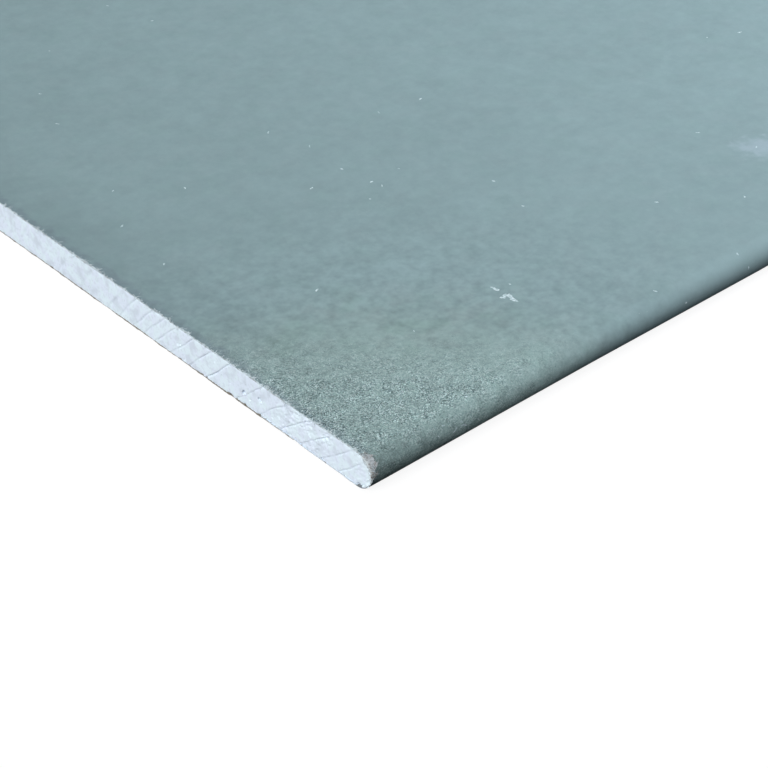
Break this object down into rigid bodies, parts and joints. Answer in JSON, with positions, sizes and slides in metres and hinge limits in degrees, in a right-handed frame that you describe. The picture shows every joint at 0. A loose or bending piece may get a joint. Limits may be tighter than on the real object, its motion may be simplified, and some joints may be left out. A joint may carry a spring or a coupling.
{
  "type": "drywall sheet",
  "caption": "Moisture-resistant drywall sheet: gypsum core between a green face paper wrapped round half-round long edges and a grey-brown back paper, with bare cut ends.",
  "frame": {"origin": "under the middle of the sheet, on the outer side of its back paper", "axes": "+X along the sheet, parallel to the paper-wrapped long edges; +Y across it; +Z out of the face"},
  "size_m": [2.5, 1.2, 0.0125],
  "materials": {
    "gypsum": "rough sawn set gypsum, chalky white with fine pores",
    "face_paper": "matt green-grey recycled-fibre liner",
    "back_paper": "matt grey-brown recycled-fibre liner"
  },
  "bodies": {
    "root": {"gypsum_core": "gypsum", "face_paper": "face_paper", "back_paper": "back_paper"}
  },
  "joints": []
}
